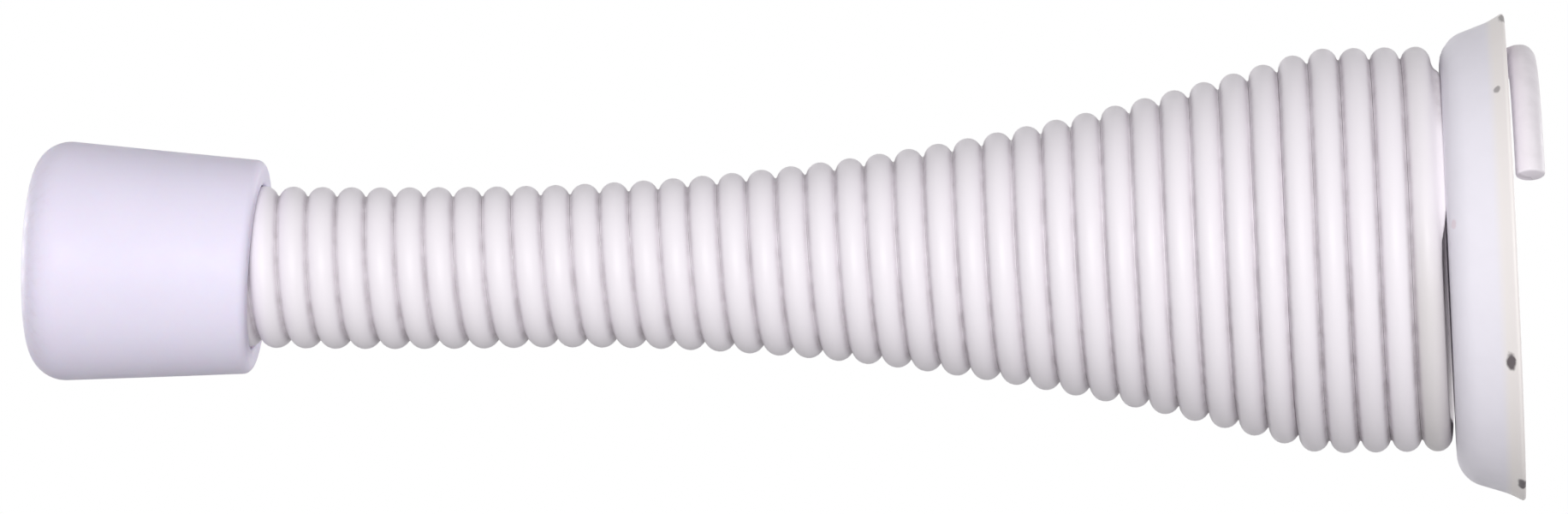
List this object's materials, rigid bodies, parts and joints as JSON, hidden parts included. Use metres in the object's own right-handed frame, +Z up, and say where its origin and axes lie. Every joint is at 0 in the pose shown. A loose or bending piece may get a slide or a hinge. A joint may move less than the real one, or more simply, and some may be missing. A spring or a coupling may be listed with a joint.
{
  "type": "spring door stop",
  "caption": "White spring door stop: a close-wound trumpet coil on a pressed round base cup, with a soft push-on bumper tip.",
  "frame": {"origin": "centre of the base cup's rim, on the plane that meets the wall", "axes": "+X into the wall along the base cup's axis, the tip toward -X, +Z up as pictured"},
  "size_m": [0.0813, 0.0258, 0.0258],
  "materials": {
    "base_enamel": "gloss",
    "wire_enamel": "gloss",
    "tip_vinyl": "satin"
  },
  "bodies": {
    "root": {"base_cup": "base_enamel", "coil_spring": "wire_enamel", "bumper_tip": "tip_vinyl"}
  },
  "joints": []
}
